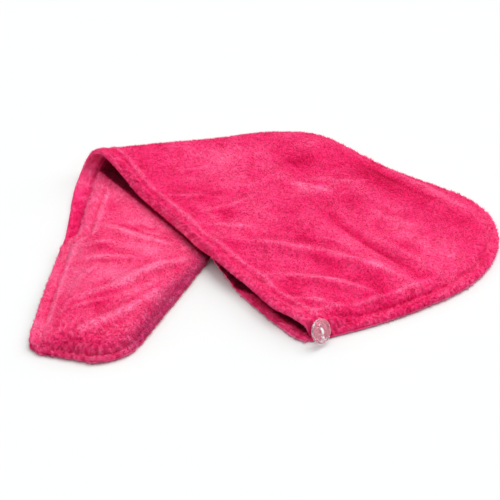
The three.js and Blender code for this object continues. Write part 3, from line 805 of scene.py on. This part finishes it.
def zipper(fine, coarse, taken):
    """Faces between a fine row of vertices and the coarse row of every so many of them."""
    near = np.abs(np.arange(len(fine))[:, None] - taken).argmin(1)
    faces = []
    for i in range(len(fine) - 1):
        faces.append((coarse[near[i]], fine[i + 1], fine[i]))
        if near[i + 1] > near[i]:
            faces.append((coarse[near[i]], coarse[near[i + 1]], fine[i + 1]))
    return np.array(faces)


def quads(index):
    """Faces of a grid of vertex numbers."""
    return np.stack([index[:-1, :-1], index[1:, :-1], index[1:, 1:], index[:-1, 1:]],
                    -1).reshape(-1, 4)


def every_so_many(count, step):
    return np.unique(np.append(np.arange(0, count, step), count - 1))


def sheet_piece(name, panel, fields, step, cut_end):
    """A closed piece of cloth: fine outer surface, and inner surface with coarser steps."""
    outer = fields["outer"]
    m, n = outer.shape[:2]
    take_m, take_n = every_so_many(m, step), every_so_many(n, step)
    back_m, back_n = m - 1 - take_m[::-1], n - 1 - take_n[::-1]
    inner = fields["inner"][np.ix_(take_m, take_n)]
    fine = np.arange(m * n).reshape(m, n)
    coarse = m * n + np.arange(inner[..., 0].size).reshape(inner.shape[:2])
    rims = {
        "hem": zipper(fine[:, 0], coarse[:, 0], take_m),
        "far": zipper(fine[::-1, -1], coarse[::-1, -1], back_m),
        "start": zipper(fine[0, ::-1], coarse[0, ::-1], back_n),
        "end": zipper(fine[-1], coarse[-1], take_n),
    }
    wall = rims.pop(cut_end)
    faces = [quads(fine), quads(coarse)[:, ::-1], *rims.values(), wall]
    if panel == "left":
        faces = [f[:, ::-1] for f in faces]
    points = np.concatenate([outer.reshape(-1, 3), inner.reshape(-1, 3)])
    piece = new_mesh(name, points, faces)
    is_smooth = np.ones(len(piece.data.polygons), bool)
    is_smooth[-len(wall):] = False
    piece.data.polygons.foreach_set("use_smooth", is_smooth)
    inner_pile = fields["inner_pile"][np.ix_(take_m, take_n)]
    # the pile value, which carries the painted light and shade
    paint(piece, "pile", np.concatenate([fields["outer_pile"].ravel(), inner_pile.ravel()]))
    # painted shade of the tail's roll, on the outer face only
    paint(piece, "painted_roll_shade", np.concatenate([fields["painted_roll_shade"].ravel(), 0 * inner_pile.ravel()]))
    return piece


# Tufts of pile: closed spikes that lean with the nap
NAP_PATCHES = [(26, 0.9, 41), (11, 0.5, 42)]  # knot spacing, turn in radians, seed
NAP_TURN = {"left": 0, "right": math.pi}
NAP_LEAN = {"lean": 0.5, "spacing": 19, "spread": 0.45, "seed": 43}
TUFT = {"length": 1.9, "width": 0.55, "in_stitch": 0.35, "root_depth": 0.25}
# How much one tuft differs from the next: shares of its size, and deviations in radians
TUFT_RANGE = {"lean": (0.6, 1.4), "length": (0.6, 1.25), "width": (0.75, 1.25)}
TUFT_SPREAD = {"turn": 0.7, "way": 0.18, "shade": 0.32}
TUFT_SHADE = {"root": -0.2, "tip": 0.4}


def nap(u, v, panel):
    """Turn of the nap in its plane, in radians, and how strongly it leans."""
    turn = np.full_like(u, NAP_TURN[panel])
    for spacing, most, seed in NAP_PATCHES:
        turn += most * noise(u / spacing, v / spacing, seed)
    spacing = NAP_LEAN["spacing"]
    gusts = noise(u / spacing, v / spacing, NAP_LEAN["seed"])
    return turn, NAP_LEAN["lean"] * (1 + NAP_LEAN["spread"] * gusts)


def pick(fields, face, weight, count, random):
    """Random spots on a grid's outer or inner face, by area and weight, with their fields."""
    grid = fields[face]
    down, over = grid[1:, :-1] - grid[:-1, :-1], grid[:-1, 1:] - grid[:-1, :-1]
    area = np.linalg.norm(np.cross(down, over), axis=-1)
    chance = (area * weight[:-1, :-1]).ravel()
    cells = random.choice(chance.size, count, p=chance / chance.sum())
    i, j = np.unravel_index(cells, area.shape)
    a, b = random.random(count), random.random(count)

    def read(values):
        x, y = (a[:, None], b[:, None]) if values.ndim == 3 else (a, b)
        near = mix(values[i, j], values[i + 1, j], x)
        return mix(near, mix(values[i, j + 1], values[i + 1, j + 1], x), y)

    shown = (face, face + "_pile", "normal", "u", "v", "stitched", "painted_roll_shade")
    spots = {key: read(fields[key]) for key in shown}
    spots["down"] = unit(down[i, j])
    return spots


def tufts(name, panel, fields, face, weight, count, seed):
    """One piece of many closed spikes on one face of a grid."""
    random = np.random.default_rng(seed)
    spots = pick(fields, face, weight, count, random)
    normal, down = unit(spots["normal"]), spots["down"]
    if face == "inner":
        normal = -normal
    down = unit(down - (down * normal).sum(-1, keepdims=True) * normal)
    over = np.cross(normal, down)
    turn, lean = nap(spots["u"], spots["v"], panel)
    turn = turn + random.normal(0, TUFT_SPREAD["turn"], count)
    lean = lean * random.uniform(*TUFT_RANGE["lean"], count)
    way = normal + lean[:, None] * (np.cos(turn)[:, None] * down + np.sin(turn)[:, None] * over)
    way = unit(way + random.normal(0, TUFT_SPREAD["way"], (count, 3)))
    length = TUFT["length"] * random.uniform(*TUFT_RANGE["length"], count)
    length *= mix(1, TUFT["in_stitch"], spots["stitched"])
    radius = TUFT["width"] / math.sqrt(3) * random.uniform(*TUFT_RANGE["width"], count)
    spin = random.uniform(0, 2 * np.pi, count)
    root = spots[face] - TUFT["root_depth"] * normal
    tip = root + way * length[:, None]
    tip[:, 2] = np.maximum(tip[:, 2], FLOOR_CLEARANCE)
    points = np.empty((count, 4, 3))
    for corner in range(3):
        angle = spin + corner * 2 * np.pi / 3
        points[:, corner] = root + radius[:, None] * (
            np.cos(angle)[:, None] * down + np.sin(angle)[:, None] * over)
    points[:, 3] = tip
    points[..., 2] = np.maximum(points[..., 2], FLOOR_CLEARANCE)
    first = np.arange(count)[:, None] * 4
    faces = [first + np.array(f) for f in ((0, 1, 3), (1, 2, 3), (2, 0, 3), (2, 1, 0))]
    piece = new_mesh(name, points.reshape(-1, 3), [np.concatenate(faces)])
    shade = np.empty((count, 4))
    own = spots[face + "_pile"] + random.normal(0, TUFT_SPREAD["shade"], count)
    shade[:, :3] = own[:, None] + TUFT_SHADE["root"]
    shade[:, 3] = own + TUFT_SHADE["tip"]
    paint(piece, "pile", shade)
    # painted shade of the tail's roll, on tufts of the outer face only
    paint(piece, "painted_roll_shade", np.repeat(spots["painted_roll_shade"] * (face == "outer"), 4))
    return piece


# Materials
# The darkest colour is reached only in the painted shade inside the towel and under the cap
PILE_COLOURS = [
    # pile value, colour
    (-4.5, (0.09, 0.0002, 0.010)),
    (-1.8, (0.56, 0.0006, 0.055)),
    (-0.7, (0.78, 0.012, 0.120)),
    (0.0, (0.85, 0.034, 0.173)),
    (0.7, (0.92, 0.082, 0.245)),
    (1.7, (0.98, 0.200, 0.395)),
]


# Numbers on the shader's own sockets
FLEECE = {"Roughness": 0.9, "Specular IOR Level": 0.03, "Sheen Weight": 0.12,
          "Sheen Roughness": 0.5, "Sheen Tint": (1.0, 0.4, 0.62, 1)}
# The clear plastic's pink tint is painted light: it stands in for the pink fleece seen through and
# reflected in the button
CLEAR_PLASTIC = {"Base Color": (1.0, 0.8, 0.87, 1), "Roughness": 0.06, "IOR": 1.42,
                 "Transmission Weight": 0.85}
WHITE_THREAD = {"Base Color": (0.93, 0.92, 0.93, 1), "Roughness": 0.75}
FLOOR_WHITE = {"Base Color": (0.69, 0.705, 0.70, 1), "Roughness": 0.9}
GRAIN = {"Scale": 1400, "Detail": 2}
GRAIN_BUMP = {"Strength": 0.5, "Distance": 0.0004}


def set_inputs(node, values):
    for key, value in values.items():
        node.inputs[key].default_value = value


def add_node(tree, kind, values=None, sources=None):
    """A shader node with numbers on its sockets, and with other nodes' outputs linked to them."""
    node = tree.nodes.new(kind)
    set_inputs(node, values or {})
    for key, output in (sources or {}).items():
        tree.links.new(output, node.inputs[key])
    return node


def painted(tree, name):
    """The output of a node that reads what is painted on the vertices."""
    node = add_node(tree, "ShaderNodeAttribute")
    node.attribute_name = name
    return node.outputs["Fac"]


def new_material(name, values):
    material = bpy.data.materials.new(name)
    material.use_nodes = True
    set_inputs(material.node_tree.nodes["Principled BSDF"], values)
    return material


def add_pile_colour(tree):
    """Deeper and more saturated where the pile value is low, as at the roots and in painted shade,
    paler where it is high, as at the tips and in painted light, and darker still in the painted
    shade of the tail's roll.
    """
    lowest, highest = PILE_COLOURS[0][0], PILE_COLOURS[-1][0]
    level = add_node(tree, "ShaderNodeMapRange", {"From Min": lowest, "From Max": highest},
                     {"Value": painted(tree, "pile")})
    ramp = add_node(tree, "ShaderNodeValToRGB", {}, {"Fac": level.outputs["Result"]})
    stops = ramp.color_ramp.elements
    while len(stops) < len(PILE_COLOURS):
        stops.new(1)
    for stop, (value, colour) in zip(stops, PILE_COLOURS):
        stop.position = (value - lowest) / (highest - lowest)
        stop.color = (*colour, 1)
    dimmed = add_node(tree, "ShaderNodeMixRGB", {"Color2": (*ROLL_SHADE_COLOUR, 1)},
                      {"Fac": painted(tree, "painted_roll_shade"), "Color1": ramp.outputs["Color"]})
    dimmed.blend_type = "MULTIPLY"
    tree.links.new(dimmed.outputs["Color"], tree.nodes["Principled BSDF"].inputs["Base Color"])


def add_grain(tree):
    """A fine bump that stands for single fibres."""
    place = add_node(tree, "ShaderNodeTexCoord")
    grain = add_node(tree, "ShaderNodeTexNoise", GRAIN, {"Vector": place.outputs["Object"]})
    bump = add_node(tree, "ShaderNodeBump", GRAIN_BUMP, {"Height": grain.outputs["Fac"]})
    tree.links.new(bump.outputs["Normal"], tree.nodes["Principled BSDF"].inputs["Normal"])


def fleece_material():
    material = new_material("coral_fleece", FLEECE)
    add_pile_colour(material.node_tree)
    add_grain(material.node_tree)
    return material


# Camera at the photograph's viewing angle
CAMERA_TARGET = Vector((-0.0212, -0.0107, 0))
CAMERA_DISTANCE = 1.33
CAMERA_ELEVATION = math.radians(33)
CAMERA_LENS, CAMERA_SENSOR = 112, 36


def add_camera():
    data = bpy.data.cameras.new("camera")
    data.lens = CAMERA_LENS
    data.sensor_width = CAMERA_SENSOR
    camera = add_object("camera", data)
    back = Vector((0, -math.cos(CAMERA_ELEVATION), math.sin(CAMERA_ELEVATION)))
    camera.location = CAMERA_TARGET + CAMERA_DISTANCE * back
    camera.rotation_euler = (math.pi / 2 - CAMERA_ELEVATION, 0, 0)
    bpy.context.scene.camera = camera


# Soft light from above and behind, a weaker one low on the right, and a sky that is dim low down
SUNS = [
    # name, height and turn in degrees, softness, strength
    ("soft_top", 66, 30, 42, 1.7),
    ("soft_side", 33, 62, 50, 0.75),
]
SKY_HEIGHT = {"From Min": 0.0, "From Max": 0.55, "To Min": 0.3, "To Max": 0.85}
FLOOR_REACH = 3000


def add_suns():
    for name, height, turn, softness, strength in SUNS:
        data = bpy.data.lights.new(name, "SUN")
        data.energy = strength
        data.angle = math.radians(softness)
        sun = add_object(name, data)
        sun.rotation_euler = (math.radians(height - 90), 0, math.radians(-turn))


def add_sky():
    world = bpy.data.worlds.new("studio")
    world.use_nodes = True
    tree = world.node_tree
    place = add_node(tree, "ShaderNodeTexCoord")
    split = add_node(tree, "ShaderNodeSeparateXYZ", {}, {"Vector": place.outputs["Generated"]})
    height = add_node(tree, "ShaderNodeMapRange", SKY_HEIGHT, {"Value": split.outputs["Z"]})
    height.interpolation_type = "SMOOTHSTEP"
    background = tree.nodes["Background"]
    set_inputs(background, {"Color": (1, 1, 1, 1)})
    tree.links.new(height.outputs["Result"], background.inputs["Strength"])
    bpy.context.scene.world = world


def add_floor():
    corners = FLOOR_REACH * np.array([(-1, -1, 0), (1, -1, 0), (1, 1, 0), (-1, 1, 0)], float)
    floor = new_mesh("floor", corners, [np.array([[0, 1, 2, 3]])])
    floor.data.materials.append(new_material("floor_white", FLOOR_WHITE))


add_camera()
add_sky()
add_suns()
add_floor()
bpy.context.scene.view_settings.view_transform = "Standard"
fleece = fleece_material()


# The pieces that the panels are cut into
SPLIT_AT = 478  # the left panel's cap piece reaches to here along the hem


def spread(block, spacing, start=NO_ROUNDING, end=NO_ROUNDING, part=(0, 1)):
    """Shares along a part of a block at about even spacing, closer at rounded ends."""
    span = (BLOCKS[block][0][1] - BLOCKS[block][0][0]) * (part[1] - part[0])
    return mix(*part, stations(start, end, int(span / spacing) + 1, span))


def build_sheet(name, panel, spans, rows, step, cut_end):
    """One piece of a panel, and the pattern points and fields that its pile needs."""
    spans = [spans[0]] + [(block, shares[1:]) for block, shares in spans[1:]]
    across = stations(HEM_STATIONS, FAR_STATIONS, rows, USUAL_WIDTH)
    points = grid_points(panel, spans, across)
    fields = cloth(points, panel)
    piece = sheet_piece(name, panel, fields, step, cut_end)
    piece.data.materials.append(fleece)
    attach(piece, "root")
    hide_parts(f"{panel}_panel")
    return {"piece": piece, "panel": panel, "points": points, **fields}


left_tail_span = BLOCKS["tail"][0]
split = (SPLIT_AT - left_tail_span[0]) / (left_tail_span[1] - left_tail_span[0])

cap = build_sheet("left_panel_cap", "left", [
    ("cap", spread("cap", 1.12, start=FAR_STATIONS)),
    ("fold", spread("fold", 1.2)),
    ("tail", spread("tail", 2.0, part=(0, split))),
], rows=205, step=3, cut_end="end")
tail_under = build_sheet("left_panel_tail", "left", [
    ("tail", spread("tail", 2.2, end=FAR_STATIONS, part=(split, 1))),
], rows=80, step=1, cut_end="start")
cap_under = build_sheet("right_panel_cap", "right", [
    ("cap", spread("cap", 2.0, start=FAR_STATIONS)),
    ("fold", spread("fold", 2.0)),
], rows=100, step=2, cut_end="end")
tail = build_sheet("right_panel_tail", "right", [
    ("tail", spread("tail", 1.0, end=FAR_STATIONS)),
], rows=150, step=3, cut_end="start")

# Where the pieces of pile grow
MOUTH_END = 170  # the tail hides the lower hem from here on
UNDER_CAP = (-30, -20)  # the tail has no pile further under the cap than this
RIM_FADE, HEM_FADE = 3, 4


def near_rim(sheet, reach):
    nearest = np.minimum(sheet["hem"], sheet["edge"])
    return fade(nearest, reach, reach + RIM_FADE)


def near_hem(sheet, reach, end=SLIT_END):
    return fade(sheet["hem"], reach, reach + HEM_FADE) * (sheet["u"] < end)


def add_piles(sheet, rows):
    """A sheet's pieces of pile, from rows of name, face, weight by place, count and seed."""
    piles = []
    for name, face, weight, count, seed in rows:
        pile = tufts(name, sheet["panel"], sheet, face, weight, count, seed)
        pile.data.materials.append(fleece)
        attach(pile, "root")
        piles.append(pile)
    return piles


in_sight = (cap["u"] < HEM_AT_FOLD[1]).astype(float)
before_cap = smooth(tail["before_hem"], *UNDER_CAP)
cap_piles = add_piles(cap, [
    ("cap_pile_a", "outer", in_sight, 47000, 51),
    ("cap_pile_b", "outer", in_sight, 47000, 52),
    ("cap_inner_hem_pile", "inner", near_hem(cap, 26), 7000, 56),
])
tail_piles = add_piles(tail, [
    ("tail_pile", "outer", before_cap, 43000, 53),
])
cap_under_piles = add_piles(cap_under, [
    ("cap_lower_rim_pile", "outer", near_rim(cap_under, 14), 7000, 54),
    ("mouth_pile", "inner", near_hem(cap_under, 22, MOUTH_END), 6000, 57),
])
tail_under_piles = add_piles(tail_under, [
    ("tail_lower_rim_pile", "outer", near_rim(tail_under, 10), 3000, 55),
])


# Button and thread, made about the Z axis and then turned to the button's place
BUTTON = {"radius": 9.8, "thickness": 2.8, "rim": 2.1, "recess": 0.8, "sides": 96}
BUTTON_ROUNDING = {"outside": 0.9, "inside": 0.5, "steps": 8}
BUTTON_HOLE = {"radius": 1.0, "spacing": 5.6, "sides": 32}
BUTTON_CENTRE = np.array([31.8, -145.6, 12.1])
BUTTON_NORMAL = Vector((0.68, -0.62, 0.4)).normalized()
STRANDS = {"count": 4, "radius": 0.36, "gap": 0.52, "in_hole": 0.4, "sides": 10}
STITCH = {"rise": 1.3, "fullness": 0.8, "root": 3.0, "steps": 28}


def button_matrix():
    upward = (Vector((0, 0, 1)) - BUTTON_NORMAL.z * BUTTON_NORMAL).normalized()
    sideways = BUTTON_NORMAL.cross(upward)
    turn = Matrix((upward, sideways, BUTTON_NORMAL)).transposed().to_4x4()
    centre = BUTTON_CENTRE + np.append(SHIFT, 0)
    return Matrix.Translation(Vector(centre * MM)) @ turn


def button_profile():
    """Radius and height from the middle of the back to the middle of the face."""
    outer, half = BUTTON["radius"], BUTTON["thickness"] / 2
    face, inner = half - BUTTON["recess"], outer - BUTTON["rim"]
    big, small = BUTTON_ROUNDING["outside"], BUTTON_ROUNDING["inside"]
    quarter, steps = math.pi / 2, BUTTON_ROUNDING["steps"]
    return np.concatenate([
        arc((outer - big, -half + big), (big, big), -quarter, 0, steps),
        arc((outer - big, half - big), (big, big), 0, quarter, steps),
        arc((inner + small, half - small), (small, small), quarter, 2 * quarter, steps)[:-1],
        arc((inner - small, face + small), (small, small), 4 * quarter, 3 * quarter, steps)[1:],
    ])


def ring_index(rings, sides):
    """Vertex numbers of rings of points, each closed on its first point."""
    index = np.arange(rings * sides).reshape(rings, sides)
    return np.concatenate([index, index[:, :1]], 1)


def lathe(name, profile, sides):
    """A closed disc from a profile of radius and height, round the Z axis."""
    angle = np.linspace(0, 2 * np.pi, sides, endpoint=False)
    round_way = np.stack([np.cos(angle), np.sin(angle)], -1)
    rings = np.empty((len(profile), sides, 3))
    rings[..., :2] = profile[:, None, :1] * round_way
    rings[..., 2] = profile[:, 1:]
    index = ring_index(len(profile), sides)
    back, face = len(profile) * sides, len(profile) * sides + 1
    points = np.concatenate([rings.reshape(-1, 3), [[0, 0, profile[0, 1]], [0, 0, profile[-1, 1]]]])
    first, last = index[0], index[-1]
    back_fan = np.stack([first[1:], first[:-1], np.full(sides, back)], -1)
    face_fan = np.stack([last[:-1], last[1:], np.full(sides, face)], -1)
    return new_mesh(name, points, [quads(index)[:, ::-1], back_fan, face_fan])


def cut_hole(piece, place):
    """Takes a round hole along Z out of a piece."""
    profile = np.array([(BUTTON_HOLE["radius"], -BUTTON["thickness"]),
                        (BUTTON_HOLE["radius"], BUTTON["thickness"])])
    cutter = lathe("hole_cutter", profile, BUTTON_HOLE["sides"])
    cutter.location.x = place * MM
    cut = piece.modifiers.new("hole", "BOOLEAN")
    cut.operation = "DIFFERENCE"
    cut.object = cutter
    cut.solver = "EXACT"
    bpy.context.view_layer.update()
    done = bpy.data.meshes.new_from_object(piece.evaluated_get(
        bpy.context.evaluated_depsgraph_get()))
    piece.modifiers.clear()
    piece.data = done
    bpy.data.objects.remove(cutter)


def seat(piece, node):
    """Puts a piece made about the Z axis where the button is."""
    piece.data.transform(button_matrix())
    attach(piece, "root")
    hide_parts(node)


def add_button():
    button = lathe("clear_button", button_profile(), BUTTON["sides"])
    for side in (-1, 1):
        cut_hole(button, side * BUTTON_HOLE["spacing"] / 2)
    button.data.materials.append(new_material("clear_plastic", CLEAR_PLASTIC))
    seat(button, "button")


def tube(path, radius, sides):
    """Points and faces of a closed round tube along a path in the XZ plane, radius by point."""
    way = unit(np.gradient(path, axis=0))
    over = np.array([0.0, 1.0, 0.0])
    up = np.cross(way, over)
    angle = np.linspace(0, 2 * np.pi, sides, endpoint=False)
    rings = path[:, None] + radius[:, None, None] * (
        np.cos(angle)[None, :, None] * over + np.sin(angle)[None, :, None] * up[:, None])
    index = ring_index(len(path), sides)
    return rings.reshape(-1, 3), quads(index)[:, ::-1], [index[0, :-1], index[-1, :-1][::-1]]


def add_thread():
    """One stitch of thick thread, a bundle of strands that spreads over the button's face."""
    half, face = BUTTON_HOLE["spacing"] / 2, BUTTON["thickness"] / 2 - BUTTON["recess"]
    back = -BUTTON["thickness"] / 2 - STITCH["root"]
    angle = np.linspace(0, np.pi, STITCH["steps"])
    x = np.concatenate([[half], half * np.cos(angle), [-half]])
    z = face + STITCH["rise"] * np.sin(angle) ** STITCH["fullness"]
    z = np.concatenate([[back], z, [back]])
    open_out = np.concatenate([[0], np.sin(angle), [0]])
    points, sides_faces, caps, count = [], [], [], 0
    for strand in range(STRANDS["count"]):
        off = (strand - (STRANDS["count"] - 1) / 2) * STRANDS["gap"]
        y = off * mix(STRANDS["in_hole"], 1, open_out)
        radius = STRANDS["radius"] * mix(STRANDS["in_hole"], 1, open_out)
        rings, around, ends_faces = tube(np.stack([x, y, z], -1), radius, STRANDS["sides"])
        points.append(rings)
        sides_faces.append(around + count)
        caps.extend(end[None] + count for end in ends_faces)
        count += len(rings)
    thread = new_mesh("button_stitch", np.concatenate(points), [*sides_faces, *caps])
    thread.data.materials.append(new_material("white_thread", WHITE_THREAD))
    seat(thread, "button_thread")


add_button()
add_thread()
